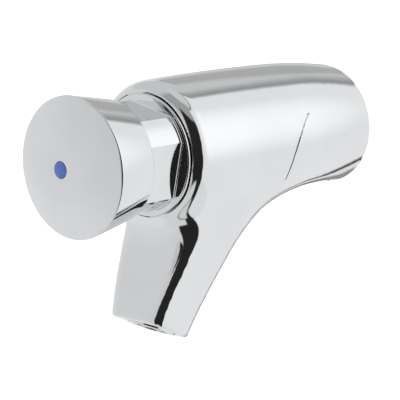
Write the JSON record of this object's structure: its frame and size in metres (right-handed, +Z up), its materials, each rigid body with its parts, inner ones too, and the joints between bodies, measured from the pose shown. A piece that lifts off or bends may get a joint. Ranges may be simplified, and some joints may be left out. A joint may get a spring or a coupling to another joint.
{
  "type": "self-closing basin tap",
  "caption": "Wall-mounted self-closing basin tap in polished chrome: a push knob opens it, a timing piston shuts it, water falls from a short spout.",
  "frame": {"origin": "centre of the wall plane on the inlet axis, where the nipple's exposed thread begins", "axes": "+Y along the inlet axis into the wall, so the push knob faces -Y; +Z up, the spout hangs towards -Z; +X to the right of someone facing the tap"},
  "size_m": [0.0498, 0.1462, 0.0882],
  "materials": {
    "chrome": "polished",
    "brass": "machined",
    "steel": "bright",
    "rubber": "matt",
    "fibre": "pressed fibre, matt",
    "pom": "moulded",
    "index_blue": "glossy blue",
    "jewel": "synthetic ruby"
  },
  "bodies": {
    "tap": {"tap_body": "chrome", "head_nut": "chrome", "head_gasket": "fibre", "guide_bush": "pom", "rod_seal": "rubber", "bush_ring": "steel", "return_spring": "steel", "cartridge_sleeve": "pom", "sleeve_seal": "rubber", "valve_seat": "brass", "seat_seal": "rubber", "closing_spring": "steel", "flow_restrictor": "brass", "inlet_nipple": "brass", "inlet_strainer": "steel", "wall_gasket": "rubber", "nozzle_ring": "chrome", "flow_straightener": "pom", "nozzle_washer": "rubber"},
    "knob": {"push_knob": "chrome", "cold_index": "index_blue", "knob_screw": "steel", "push_rod": "steel", "stop_ring": "steel"},
    "piston": {"timing_piston": "pom", "lip_seal": "rubber", "timing_jewel": "jewel", "valve_stem": "brass", "poppet_washer": "rubber", "washer_nut": "brass"}
  },
  "joints": [
    {"name": "knob_press", "type": "slide", "parent": "tap", "child": "knob", "axis": [0, 1, 0], "range_m": [0, 0.007], "stiffness_N_per_m": 2500, "springref_m": -0.005, "deforming": ["return_spring"]},
    {"name": "piston_slide", "type": "slide", "parent": "tap", "child": "piston", "axis": [0, 1, 0], "range_m": [0, 0.007], "deforming": ["closing_spring"]}
  ],
  "couplings": [
    {"joint": "piston_slide", "follows": "knob_press", "ratio": 1}
  ]
}
